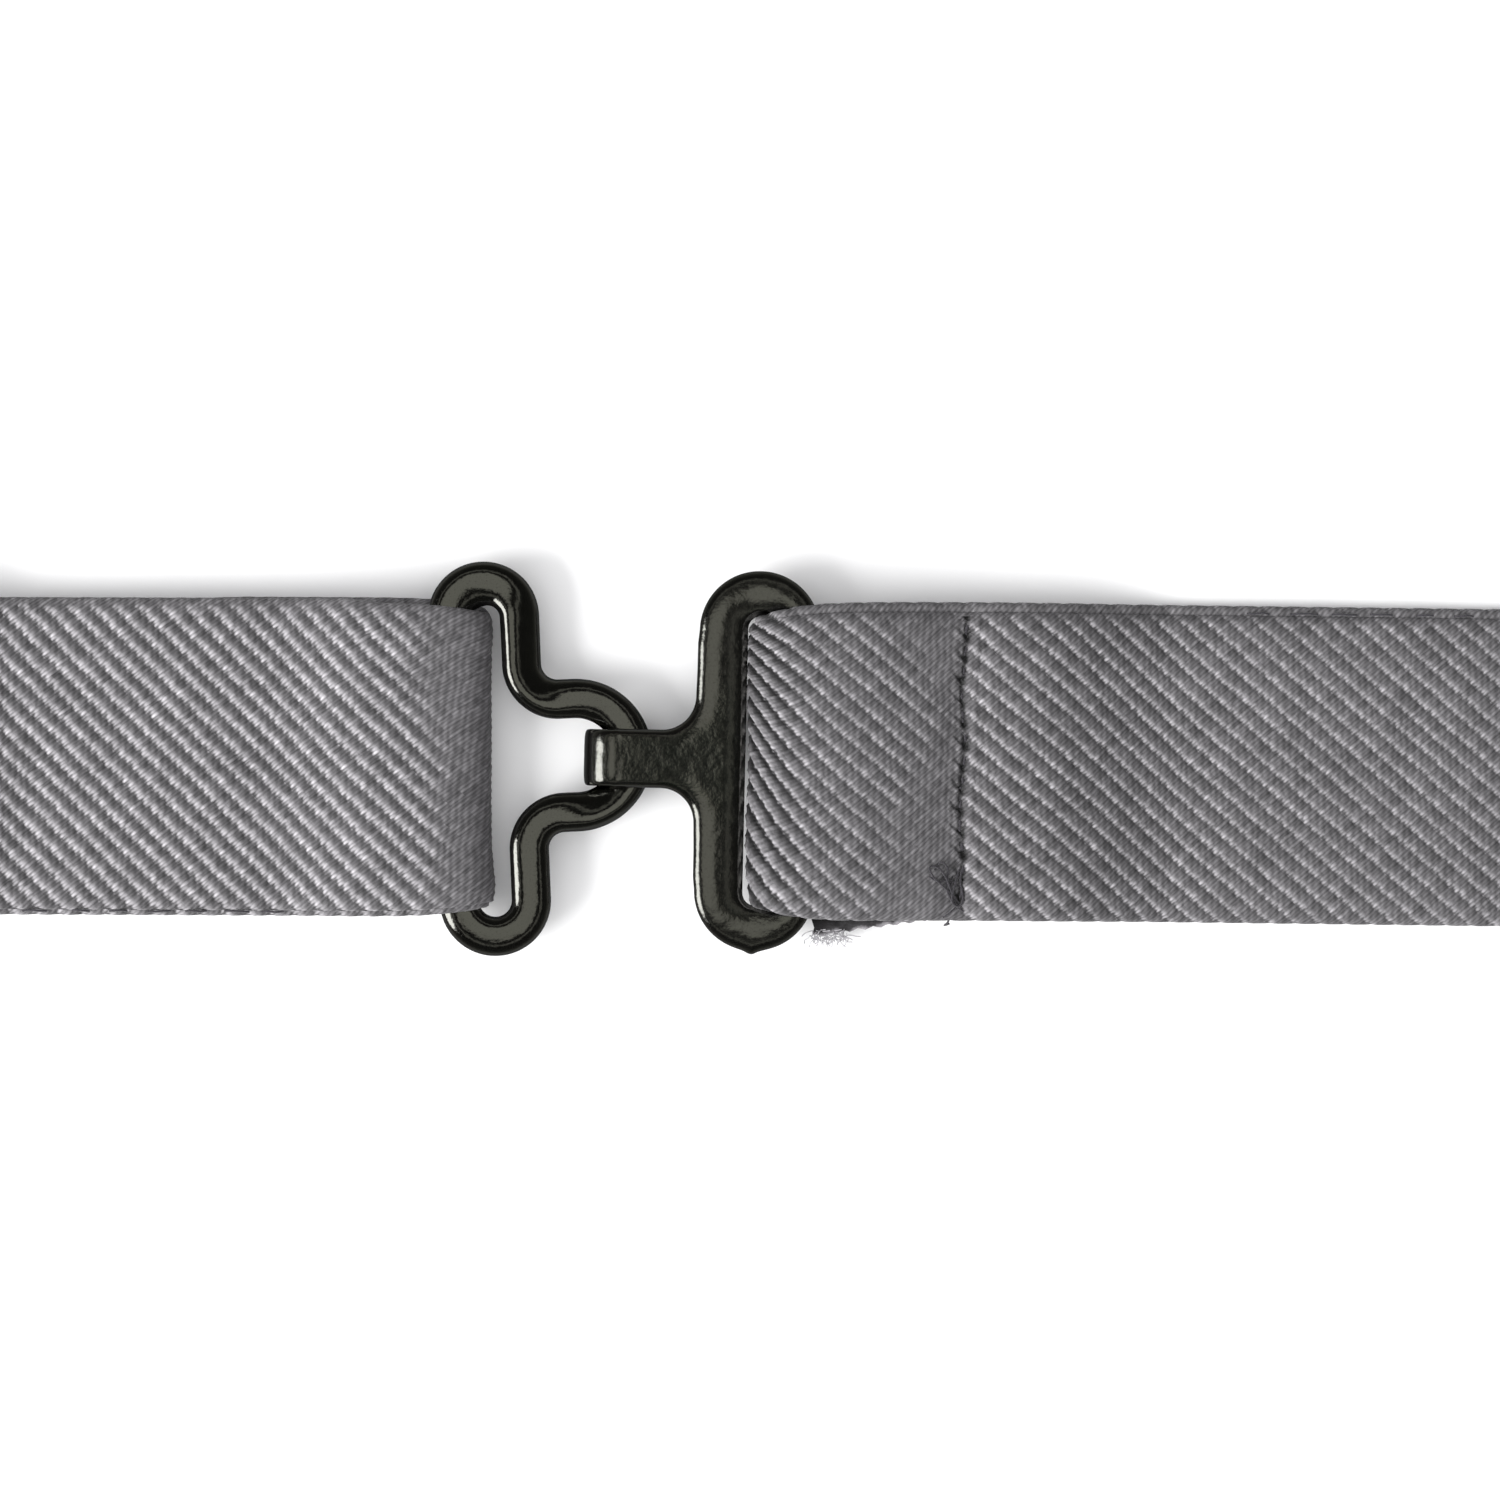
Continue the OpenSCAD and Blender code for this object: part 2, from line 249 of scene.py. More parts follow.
class Nodes:
    """A short way to write the nodes of a material or a world, with values or plain numbers as
    their inputs."""

    def __init__(self, owner):
        self.owner = owner
        owner.use_nodes = True
        self.tree = owner.node_tree

    def put(self, socket, value):
        if isinstance(value, Value):
            self.tree.links.new(value.socket, socket)
        else:
            socket.default_value = value

    def fill(self, node, values, inputs):
        """Puts values into a node's first inputs, and others into the inputs they name."""
        for socket, value in zip(node.inputs, values):
            self.put(socket, value)
        for key, value in inputs.items():
            self.put(node.inputs[key.replace("_", " ")], value)

    def add(self, kind, *values, operation=None, output=0, **inputs):
        """One output of a new node."""
        node = self.tree.nodes.new("ShaderNode" + kind)
        if operation:
            node.operation = operation
        self.fill(node, values, inputs)
        return Value(self, node.outputs[output])

    def math(self, operation, a, b=0.0):
        return self.add("Math", a, b, operation=operation)

    def gauss(self, x):
        return self.math("POWER", math.e, x * x * -1.0)

    def noise(self, vector, scale, detail=2.0, rough=0.5, distortion=0.0):
        return self.add("TexNoise", Vector=vector, Scale=scale, Detail=detail, Roughness=rough,
                        Distortion=distortion)

    def combine(self, x, y, z=0.0):
        return self.add("CombineXYZ", x, y, z)

    def split(self, vector):
        first = self.add("SeparateXYZ", vector)
        return [Value(self, socket) for socket in first.socket.node.outputs]

    def uv(self, name):
        place = self.add("UVMap")
        place.socket.node.uv_map = name
        return self.split(place)[:2]

    def object_mm(self):
        """Places on the piece, in millimetres."""
        return self.add("VectorMath", self.add("TexCoord", output="Object"), (1 / MM,) * 3,
                        operation="MULTIPLY")

    def ramp(self, fac, stops, kind="B_SPLINE"):
        colour = self.add("ValToRGB", fac)
        ramp = colour.socket.node.color_ramp
        ramp.interpolation = kind
        while len(ramp.elements) < len(stops):
            ramp.elements.new(0.5)
        for element, (place, tone) in zip(ramp.elements, stops):
            element.position = place
            element.color = (*tone, 1.0)
        return colour

    def mix(self, fac, a, b, blend="MIX"):
        node = self.tree.nodes.new("ShaderNodeMix")
        node.data_type, node.blend_type = "RGBA", blend
        for index, value in ((0, fac), (6, a), (7, b)):
            self.put(node.inputs[index], value)
        return Value(self, node.outputs[2])

    def tint(self, colour, by):
        return self.mix(1.0, colour, by, "MULTIPLY")

    def bump(self, height, strength, distance_mm):
        return self.add("Bump", Strength=strength, Distance=distance_mm * MM, Height=height)

    def surface(self, **inputs):
        """The material, once its principled shader has these inputs."""
        self.fill(self.tree.nodes["Principled BSDF"], (), inputs)
        return self.owner

    def end(self, plain, mirrored):
        """Ends the tree with one shader as polished metal mirrors it, and another for the rest."""
        shader = self.add("MixShader", self.add("LightPath", output="Is Glossy Ray"), plain, mirrored)
        outputs = [node for node in self.tree.nodes if node.type.startswith("OUTPUT")]
        self.put(outputs[0].inputs[0], shader)


def grey(v):
    """A grey with the silk's slight violet cast."""
    return v * 1.02, v * 0.985, v * 1.03


# The weave's waves across the ribs: turns per millimetre along v and along u
THREADS = (4.86, 0.7)
FLOATS = (1.77, -1.45)
BINDINGS = (3.05, 0.58)
# How much lighter or darker the cloth is painted across a rib that stands open at the fold:
# painted light on its lit flank and painted shade in its groove
OPEN_RIB_PAINTED_LIGHT = ((0.0, 0.1), (0.12, 0.8), (0.26, 2.9), (0.46, 2.1), (0.66, 0.35), (1.0, 0.05))


def silk_material(name, stops, rib_dull, sewn=False):
    """Ribbed silk. Its albedo has a painted highlight on each rib's lit flank and painted shade in its
    grooves. The map "cloth" counts ribs along u and millimetres of rib along v; the second map holds along u
    where the ribs are flattened and take a flat, darker grey as painted shade, and along v where they stand
    open at the fold, with painted light and shade."""
    n = Nodes(bpy.data.materials.new(name))
    u, v = n.uv("cloth")
    flattened_and_painted_shade, opened_and_painted_light = n.uv("relief_and_painted_light")
    # A rib wavers a little along its length
    ribs = u + (n.noise(n.combine(u, v * 0.6), 1.1) * 0.16 - 0.08)

    def turns(wave, drift):
        return v * wave[0] + ribs * wave[1] + n.noise(n.combine(u, v, wave[0]), 0.7) * drift

    def wave_of(turn):
        return n.math("COSINE", turn * WHOLE_TURN)

    def shuffle(a, b, seed):
        """A random number for each whole a and b."""
        return n.add("TexWhiteNoise", n.combine(n.math("FLOOR", a), n.math("FLOOR", b), seed))

    thread = turns(THREADS, 0.7)
    rounded = wave_of(thread) * -0.5 + 0.5
    floats = wave_of(turns(FLOATS, 1.2))
    bindings = wave_of(turns(BINDINGS, 1.0))
    own = shuffle(thread, ribs, 0.5)
    other = shuffle(thread, ribs, 7.5)
    hank = shuffle(thread * 0.5, ribs * 2.0, 1.5)
    # Each thread reaches a little further or less far across the rib than its neighbours
    reach = own * 0.15 + (rounded * 0.07 - 0.11) + floats * 0.045
    phase = n.math("FRACT", ribs + reach)
    body = n.ramp(phase, [(place, grey(level)) for place, level in stops])
    # Where a rib stands open at the fold its lit flank is painted lighter and its groove darker: painted
    # light and shade
    groove = n.ramp(phase, [(place, (level,) * 3) for place, level in OPEN_RIB_PAINTED_LIGHT])
    body = n.mix(opened_and_painted_light, body, n.tint(body, groove))
    # Where the ribs are flattened their colour goes over to a flat, darker grey: painted shade where the
    # cloth turns from the light, with a ragged edge
    patch = n.noise(n.combine(u * 0.9, v), 0.8, 3.0, 0.6)
    ragged = (own * 0.9 + (patch * 1.6 - 1.25)) * n.math("MINIMUM", flattened_and_painted_shade, 1.0 - flattened_and_painted_shade)
    cloth = n.mix(n.add("Clamp", flattened_and_painted_shade + ragged), body, (*grey(rib_dull), 1.0))
    soil = n.noise(n.combine(u * 0.35, v * 0.35), 0.7)
    # The gaps between threads are painted darker, as shade; the other factors vary the tone thread by thread
    # and across the weave
    shade = rounded * 0.42 + 0.76
    for value, low, span in ((other, 0.8, 0.4), (hank, 0.84, 0.32), (floats, 1.0, 0.15),
                             (bindings, 1.0, 0.11), (soil, 0.9, 0.2)):
        shade = shade * (value * span + low)
    height = (rounded + other) * 0.018 + floats * 0.012
    if sewn:
        # The seam's crease and spurs darken the colour: painted shade
        crease, depth = seam_crease(n)
        shade = shade * (1.0 - crease)
        height = height + depth
    return n.surface(Base_Color=n.tint(cloth, shade), Roughness=other * 0.25 + 0.4,
                     Normal=n.bump(height, 1.0, 1.0), Specular_IOR_Level=0.5, Sheen_Weight=0.08,
                     Sheen_Roughness=0.4)


def seam_line(y, sine=np.sin):
    """Where the cross seam lies along X, for a place across the band."""
    return SEAM_X + 0.018 * (y + 8) + 0.12 * sine(y * 0.9 + 1.0)


def seam_step(y):
    """How many stitches of the cross seam lie below a place across the band."""
    return (y - SEAM_LOW_Y) / STITCH_PITCH


def seam_crease(n):
    """The cross seam on the face of the right band: the painted shade in its crease and in the short
    spurs beside it, and the height in millimetres of the crease and of the puckers between stitches."""
    place = n.object_mm()
    x, y, z = n.split(place)
    ragged = n.noise(place, 2.2) * 0.36 - 0.18
    away = x - seam_line(y, lambda angle: n.math("SINE", angle)) + ragged
    step = seam_step(y)
    stitch = n.math("COSINE", step * WHOLE_TURN) * 0.5 + 0.5
    crease = n.gauss(away / (stitch * 0.12 + 0.12))
    spur = n.math("FRACT", away * 0.75 + 0.5 + step)
    spur = n.gauss((spur - 0.5) * 9.0) * n.gauss((away + 0.35) / 0.33)
    puff = n.gauss((away - 0.62) / 0.36) * (stitch * -0.16 + 0.2)
    on_face = n.math("GREATER_THAN", z, 2.2) * n.math("LESS_THAN", n.math("ABSOLUTE", y + 0.15), 8.6)
    # Painted shade, darkest in the crease and in the spurs beside it, on the band's face
    dark = (crease * (stitch * 0.24 + 0.74) + spur * 0.6) * on_face
    depth = (crease * -0.16 + puff + spur * -0.05) * on_face
    return n.math("MINIMUM", dark, 0.94), depth


def black_nickel(name, mottled):
    """Polished black nickel; mottled adds the faintly hammered look of a stamped plate."""
    n = Nodes(bpy.data.materials.new(name))
    place = n.object_mm()
    cloud = n.noise(place, 0.7, 3.0, 0.55)
    grain = n.noise(place, 2.4, 4.0, 0.6)
    fine = n.noise(place, 8.0, 3.0, 0.6)
    speck = n.ramp(fine, [(0.6, (1, 1, 1)), (0.72, (0.62, 0.62, 0.6))])
    tone = 0.2 - 0.02 * mottled
    relief = cloud * 0.7 + grain * 0.2 + fine * (0.06 * mottled + 0.015)
    return n.surface(Base_Color=n.tint((tone, tone, 0.925 * tone, 1), speck), Metallic=1.0,
                     Roughness=grain * (0.1 * mottled + 0.03) + (0.05 + 0.04 * mottled),
                     Normal=n.bump(relief, 1.0, 0.03 + 0.03 * mottled))


def fibre_material(name, colour, scale):
    """Spun thread, lint and woven interlining."""
    n = Nodes(bpy.data.materials.new(name))
    strand = n.noise(n.object_mm(), scale, 3.0, 0.6, 0.8)
    dark = tuple(0.55 * c for c in colour)
    light = tuple(min(1.0, 1.35 * c) for c in colour)
    return n.surface(Base_Color=n.ramp(strand, [(0.3, dark), (0.7, light)]), Roughness=0.8,
                     Normal=n.bump(strand, 0.6, 0.04), Sheen_Weight=0.3)


def raw_edge_material(name):
    """The turned ply: painted deep shadow beside the band, and pale and fuzzy along its torn edge."""
    n = Nodes(bpy.data.materials.new(name))
    place = n.object_mm()
    x, y, _ = n.split(place)
    torn = (x - HEM_X) * -HEM_SLOPE + y + n.noise(place, 1.3, 3.0, 0.6) * 0.9
    strand = n.noise(n.combine(x * 2.0, y * 6.0), 1.4, 3.0, 0.7)
    # The ramp runs over a millimetre and a half from the torn edge; its near-black end is painted shadow
    # inside the fold
    tone = n.ramp((torn + 10.45) / 1.5, [(0.0, grey(0.34)), (0.16, grey(0.2)), (0.26, grey(0.01)),
                                         (1.0, grey(0.006))])
    return n.surface(Base_Color=n.tint(tone, strand * 1.3 + 0.35), Roughness=0.9,
                     Normal=n.bump(strand, 0.8, 0.08), Specular_IOR_Level=0.1)


# -------- the silk bands

PATH_STEPS, SOFTEN = 6000, 30   # how finely a path is cut, and over how many steps its tangents blend


class Band:
    """A band end: a path in the X-Z plane, walked so that the face side is its left."""

    def __init__(self, path, rib_angle, tip_x=0.0, tip_scale=1.0, shift=None):
        p = np.asarray(path, float)
        step = np.linalg.norm(np.diff(p, axis=0), axis=1)
        s = np.concatenate([[0], np.cumsum(step)])
        self.length = s[-1]
        self.s = np.linspace(0, self.length, PATH_STEPS)
        self.x = np.interp(self.s, s, p[:, 0])
        self.z = np.interp(self.s, s, p[:, 1])
        # The tangents are softened, so that corners of the path don't crease the cloth
        kernel = np.hanning(2 * SOFTEN + 1)
        kernel /= kernel.sum()
        tangent = np.stack([np.convolve(np.pad(np.gradient(line, self.s), SOFTEN, mode="edge"), kernel,
                                        mode="valid") for line in (self.x, self.z)], 1)
        self.t = unit(tangent)
        self.tip_x, self.tip_scale = tip_x, tip_scale
        self.angle = math.radians(rib_angle)
        self.shift = shift

    def frame_at(self, s):
        x, z = np.interp(s, self.s, self.x), np.interp(s, self.s, self.z)
        tx, tz = np.interp(s, self.s, self.t[:, 0]), np.interp(s, self.s, self.t[:, 1])
        return x, z, tx, tz

    def place(self, s, y, lift):
        """Points on the band: s along the path, y across it, lift off its middle plane."""
        x, z, tx, tz = self.frame_at(s)
        near = np.exp(-(np.abs(x - self.tip_x) / 2.3) ** 1.3)
        wide = 1 - (1 - self.tip_scale) * near
        dx, dy, dn = self.shift(x, y, tx) if self.shift else (0, 0, 0)
        return np.stack([x - tz * (lift + dn) + dx, y * wide + dy, z + tx * (lift + dn)], -1)

    def s_on_face(self, x):
        """The distance along the path where its face-side run passes x."""
        ok = self.t[:, 0] > 0.2
        return float(np.interp(x, self.x[ok], self.s[ok]))


def quarter(cx, cz, a, b, power, start, end, count=40):
    """A superellipse arc between two angles, for the turn of a band round a bar."""
    angles = np.radians(np.linspace(start, end, count))
    return [(cx + a * squared(math.cos(t), power), cz + b * squared(math.sin(t), power)) for t in angles]


def level_run(points, step=0.25):
    """A run whose height eases from each (x, z) point to the next."""
    out = []
    for (x0, z0), (x1, z1) in zip(points, points[1:]):
        count = max(2, int(abs(x1 - x0) / step))
        for k in range(count):
            x = x0 + (x1 - x0) * k / count
            out.append((x, z0 + (z1 - z0) * float(smoothstep(0, 1, k / count))))
    out.append(points[-1])
    return out


def soft_noise(x, y, scale, seed):
    """Smooth unevenness between about -1 and 1 at each place."""
    flat = [noise.noise(Vector((a * scale, b * scale, seed))) for a, b in zip(x.ravel(), y.ravel())]
    return np.array(flat).reshape(x.shape)


def section_rows(half_w, half_t, top_step, low_step, seam_y):
    """Points round the band's section from its closing seam, and how far each is from the middle
    of its face. The seam is on the face, and its rims have finer steps."""
    t = np.linspace(0, WHOLE_TURN, PATH_STEPS + 1)
    y = half_w * squared(np.cos(t), 14)
    n = half_t * np.sin(t)
    run = np.concatenate([[0], np.cumsum(np.hypot(np.diff(y), np.diff(n)))])
    total = run[-1]
    rows, at = [], 0.0
    while at < total:
        rows.append(at)
        yy, nn = np.interp(at, run, y), np.interp(at, run, n)
        rim = abs(yy) > half_w - 0.45
        at += 0.16 if rim else (top_step if nn > 0 else low_step)
    rows = np.array(rows)
    yy, nn = np.interp(rows, run, y), np.interp(rows, run, n)
    start = int(np.argmin(np.where(nn > 0, np.abs(yy - seam_y), np.inf)))
    order = np.append(np.roll(np.arange(len(rows)), -start), start)
    around = (rows[order] - rows[start]) % total
    around[-1] = total
    top_middle = (np.interp(math.pi / 2, t, run) - rows[start]) % total
    return yy[order], nn[order], top_middle - around


def rib_lift(phase, rise):
    """How far the cloth stands up, as a share of a rib's height."""
    return np.interp(phase - np.floor(phase), RIB_STEPS + (1.0,), rise + (0.0,))


def cloth_grid(band, half_w, half_t, top_step, low_step, seam_y):
    """A strip of bias cloth folded into a tube: its grid follows the ribs, so that each column
    is one place across a rib. Gives the section's y and n, and s, u and v of every point."""
    y, n, p = section_rows(half_w, half_t, top_step, low_step, seam_y)
    cos_a, sin_a = math.cos(band.angle), math.sin(band.angle)
    low = math.floor(p.min() * sin_a / RIB_PITCH) - 1
    high = math.ceil((band.length * cos_a + p.max() * sin_a) / RIB_PITCH) + 1
    phases = np.array([k + f for k in range(low, high) for f in RIB_STEPS])
    u, across = np.meshgrid(phases, p)
    s = (u * RIB_PITCH - across * sin_a) / cos_a
    inside = (s > -2.5) & (s < band.length + 2.5)
    s = np.clip(s, 0, band.length)
    u = (s * cos_a + across * sin_a) / RIB_PITCH
    v = across * cos_a - s * sin_a
    rounded = np.round(s, 5).ravel()
    faces = [f for f in grid_faces(*s.shape)
             if inside.ravel()[list(f)].any() and len({rounded[i] for i in f}) > 1]
    spread = np.ones((1, len(phases)))
    return y[:, None] * spread, n[:, None] * spread, s, u, v, faces


def pairs(a, b):
    return np.stack([a.ravel(), b.ravel()], 1)


def silk_tube(name, band, seam_y, rise, relief_and_painted_light, pulled=None):
    """The band's silk, with its ribs in the mesh. The relief function gives how far the ribs are flattened
    and how far they stand open, which also places painted shade and light on them, and pulled gives how far
    a seam draws the cloth in."""
    y, n, s, u, v, faces = cloth_grid(band, BAND_HALF_W, BAND_HALF_T, 0.5, 0.95, seam_y)
    flattened_and_painted_shade, opened_and_painted_light = relief_and_painted_light(s, y, n)
    rim = np.abs(y) / BAND_HALF_W
    lift = rib_lift(u, rise) * RIB_HEIGHT * (1 - 0.5 * smoothstep(0.93, 1.0, rim))
    lift = lift * (1 - 0.75 * flattened_and_painted_shade) * (1 + 0.8 * opened_and_painted_light)
    tuck = np.zeros((len(y), 1))
    tuck[0] = tuck[-1] = -0.22
    tuck[1] = tuck[-2] = -0.08
    outward = np.sign(n) * np.clip(np.abs(n) / BAND_HALF_T, 0, 1)
    reach = n + outward * (lift + tuck)
    if pulled:
        reach = reach + pulled(s, y, n)
    side = 1 + (lift + tuck) / BAND_HALF_W * smoothstep(0.9, 1.0, rim)
    verts = band.place(s, y * side, reach)
    verts[..., 2] = np.maximum(verts[..., 2], 0.0)
    piece = new_object(name, verts.reshape(-1, 3), faces,
                       uv={"cloth": pairs(u, v), "relief_and_painted_light": pairs(flattened_and_painted_shade, opened_and_painted_light)})
    tidy_mesh(piece)
    return piece


def lining_strip(name, band, half_w, half_t, step=0.6):
    """The interlining inside a band."""
    s = np.linspace(0.05, band.length - 0.05, int(band.length / step))
    ring = superellipse(half_w, half_t, 8, 28)
    ss = np.repeat(s[:, None], len(ring), 1)
    verts = band.place(ss, np.broadcast_to(ring[:, 0], ss.shape), np.broadcast_to(ring[:, 1], ss.shape))
    return new_object(name, verts.reshape(-1, 3), tube_faces(*ss.shape))


def left_shift(x, y, tx):
    """Soft unevenness of the left band, its corner that pulls out at the fold, and its under
    layer that looks out a little along the upper edge."""
    fold = smoothstep(-11.5, -7.8, x)
    corner = 0.3 * smoothstep(-5.0, -9.0, y) + 0.16 * smoothstep(6.5, 9.0, y)
    dx = fold * (corner - 0.12)
    face = smoothstep(-0.5, 0.0, tx)
    dy = 0.12 - 0.004 * (x + 37) - 0.3 * face * smoothstep(-16.5, -13.2, x) * smoothstep(2, 9, y)
    under = smoothstep(0.0, -0.5, tx) * smoothstep(-26, -22, x) * smoothstep(-9.5, -11.0, x)
    dy = dy + 0.1 * under * smoothstep(2, 9, y)
    dn = 0.07 * soft_noise(x, y, 0.12, 3.1) + 0.05 * soft_noise(x, y, 0.3, 5.7)
    return dx, dy, dn


def right_shift(x, y, tx):
    """Soft unevenness of the right band, which runs a little downhill."""
    dy = -0.27 - 0.0125 * (np.clip(x, 10, 60) - 25) * smoothstep(8, 30, x)
    # The ribs curve where the cloth is drawn over the bar
    turn = np.exp(-(np.clip(x, 8.1, 60) - 8.1) / 1.6)
    dy = dy + 3.0 * turn * (1 - np.clip(np.abs(y) / 9.3, 0, 1) ** 2)
    dn = 0.07 * soft_noise(x, y, 0.12, 11.3) + 0.05 * soft_noise(x, y, 0.3, 7.9)
    return -0.22 * turn * smoothstep(-1, -7, y), dy, dn


def left_path():
    path = level_run([(-BAND_END_X, 0.62), (-84, 0.62), (-70, 4.45), (-42.5, 4.45), (-36.5, 2.12),
                      (-21, 2.5), (-13.6, 3.68)])
    path += quarter(-12.4, 2.15, 4.55, 1.55, 2.3, 90, 0)
    path += quarter(-10.1, 2.15, 2.25, 1.53, 2.1, 0, -90)[1:]
    path += [(x, 0.62) for x in np.arange(-11, -60.1, -0.5)]
    return path


def right_path():
    path = [(x, 0.94) for x in np.arange(22, 11, -0.5)]
    path += quarter(10.6, 2.37, 1.9, 1.43, 2.1, -90, -180)
    path += quarter(11.6, 2.37, 2.9, 1.5, 2.0, 180, 90)[1:]
    path += level_run([(13.2, 3.86), (20.7, 2.85), (24.2, 2.95), (34, 0.72), (60, 0.62), (BAND_END_X, 0.62)])
    return path


def left_relief_and_painted_shade(s, y, n):
    """Near the fold and along the upper edge the ribs of the left band flatten out, and there they take
    a flat, darker grey, which is painted shade where the cloth turns from the light.
    """
    x, _, tx, _ = LEFT.frame_at(s)
    ragged = 0.9 * soft_noise(s, y, 0.6, 2.2)
    start = np.interp(y, (-9, -6, -2, 2, 9), (-11.0, -10.4, -10.4, -11.2, -11.4))
    flattened_and_painted_shade = smoothstep(-1.9, 1.2, x - start + ragged) ** 1.3 * (tx > -0.9)
    flattened_and_painted_shade = np.maximum(flattened_and_painted_shade, 0.8 * smoothstep(8.75, 9.15, y))
    return flattened_and_painted_shade, np.zeros_like(s)


def right_relief_and_painted_light(s, y, n):
    """Beside the cross seam the ribs of the right band flatten and take a flat, darker grey, which is
    painted shade, and at the fold they open, with painted light on their lit flanks and painted shade in
    their grooves.
    """
    x, _, tx, _ = RIGHT.frame_at(s)
    top = (tx > 0.2) * (n > 0)
    before = SEAM_X - x
    ragged = 1.0 * soft_noise(s, y, 0.45, 8.2)
    reach = np.interp(y, (-9, -7.8, -5.3, -2.9, -1.1, 0.8, 3.3, 5.8, 8.2, 9.5),
                      (5.6, 5.3, 4.6, 4.4, 3.0, 1.6, 1.6, 2.9, 4.8, 6.2))
    flattened_and_painted_shade = smoothstep(reach + 1.4, reach - 1.2, before + ragged) * smoothstep(-0.1, 0.1, before) * top
    flattened_and_painted_shade = np.maximum(0.95 * flattened_and_painted_shade, 0.85 * smoothstep(8.35, 8.85, y) * top * smoothstep(8.5, 12, x))
    flattened_and_painted_shade = np.maximum(flattened_and_painted_shade, 0.22 * top * np.maximum(smoothstep(10.5, 13.5, x) * (before > 0),
                                                      smoothstep(33, 40, x)))
    return flattened_and_painted_shade, smoothstep(12.2, 8.9, x)


def right_lift(s, y, n):
    """The cross seam pulls the face of the right band in, with puckers between its stitches."""
    x, _, tx, _ = RIGHT.frame_at(s)
    top = (n > 0.1) & (tx > 0.2) & (x > 12)
    away = x - seam_line(y)
    stitch = 0.5 + 0.5 * np.cos(WHOLE_TURN * seam_step(y))
    roll = -0.3 * bump(away, -0.1, 0.9) + 0.12 * bump(away, -2.6, 1.4)
    puff = 0.16 * bump(away, 0.9, 0.6) * (1 - 0.6 * stitch) + 0.16 * bump(away, 1.8, 1.0)
    rim = 1 - 0.5 * smoothstep(8.4, 9.4, np.abs(y))
    return np.where(top, (roll + puff) * rim, 0)


LEFT = Band(left_path(), 45.0, -7.3, 0.935, left_shift)
RIGHT = Band(right_path(), 48.5, 8.15, 0.9, right_shift)

# Albedo across a rib, from groove to groove. The lighter part on the flank that faces the key light
# is a painted highlight, wider on the left band, which tilts towards the light; the dark groove is painted
# shade.
silk_left = silk_material("ribbed_silk_left", [
    (0.0, 0.08), (0.1, 0.125), (0.22, 0.28), (0.36, 0.29), (0.5, 0.165), (0.64, 0.108), (0.84, 0.082),
    (1.0, 0.072)], 0.115)
silk_right = silk_material("ribbed_silk_right", [
    (0.0, 0.075), (0.08, 0.112), (0.19, 0.245), (0.28, 0.235), (0.38, 0.132), (0.55, 0.11), (0.86, 0.094),
    (1.0, 0.07)], 0.108, sewn=True)
nickel = black_nickel("black_nickel", 0.5)
nickel_plate = black_nickel("black_nickel_plate", 1.0)
thread_dark = fibre_material("sewing_thread", (0.035, 0.032, 0.038), 9.0)
raw_edge = raw_edge_material("torn_silk_edge")
lint = fibre_material("silk_lint", (0.42, 0.41, 0.43), 12.0)
lining = fibre_material("woven_interlining", (0.55, 0.53, 0.49), 3.0)


def build_bands():
    left = silk_tube("left_silk", LEFT, -9.3, BROAD_RIB, left_relief_and_painted_shade)
    finish_piece(left, "left_band", ["left_silk_band"], silk_left)
    right = silk_tube("right_silk", RIGHT, 9.12, NARROW_RIB, right_relief_and_painted_light, right_lift)
    finish_piece(right, "right_band", ["right_silk_band"], silk_right)
    core = lining_strip("left_lining", LEFT, 8.6, 0.24)
    finish_piece(core, "left_band", ["left_interlining"], lining)
    core = lining_strip("right_lining", RIGHT, 8.6, 0.18)
    finish_piece(core, "right_band", ["right_interlining"], lining)


# -------- the eye

def hinge(joint):
    """Where a swinging joint is, in millimetres, and how far its axis is turned from Y."""
    axis = Vector(JOINTS[joint]["axis"])
    return Vector(JOINTS[joint]["pos_m"]) / MM, math.atan2(-axis.x, axis.y)


EYE_BAR, EYE_YAW = hinge("eye_swing")
LOBE_Y, LOBE_R, SHOULDER_Y = 8.5, 2.16, 5.56
NOSE_X, NOSE_R = 5.2, 3.4


def eye_outline():
    """The wire's centreline, from the middle of the hidden bar and round to it again."""
    shoulder_x = 2 * LOBE_R
    half = [(-LOBE_R, y) for y in np.linspace(0, LOBE_Y, 12)[:-1]]
    half += arc(0, LOBE_Y, LOBE_R, 180, 0, 44)
    half += [(LOBE_R, y) for y in np.linspace(LOBE_Y, SHOULDER_Y, 8)[1:-1]]
    half += arc(shoulder_x, SHOULDER_Y, LOBE_R, 180, 270, 26)
    half += [(x, NOSE_R) for x in np.linspace(shoulder_x, NOSE_X, 4)[1:-1]]
    half += arc(NOSE_X, 0, NOSE_R, 90, 0, 30)
    return half + [(x, -y) for x, y in half[-2:0:-1]]


# How far the wire's face leans along the outline: share of its length, degrees
EYE_LEANS = ((0.0, 0), (0.12, -3), (0.2, -6), (0.235, 0), (0.265, 17), (0.31, 22), (0.36, 22),
             (0.385, 8), (0.4, 0), (0.435, -4), (0.47, 2), (0.5, 0), (0.535, -16), (0.575, -20),
             (0.61, -6), (0.64, 2), (0.7, 2), (0.8, 4), (0.88, 2), (1.0, 0))


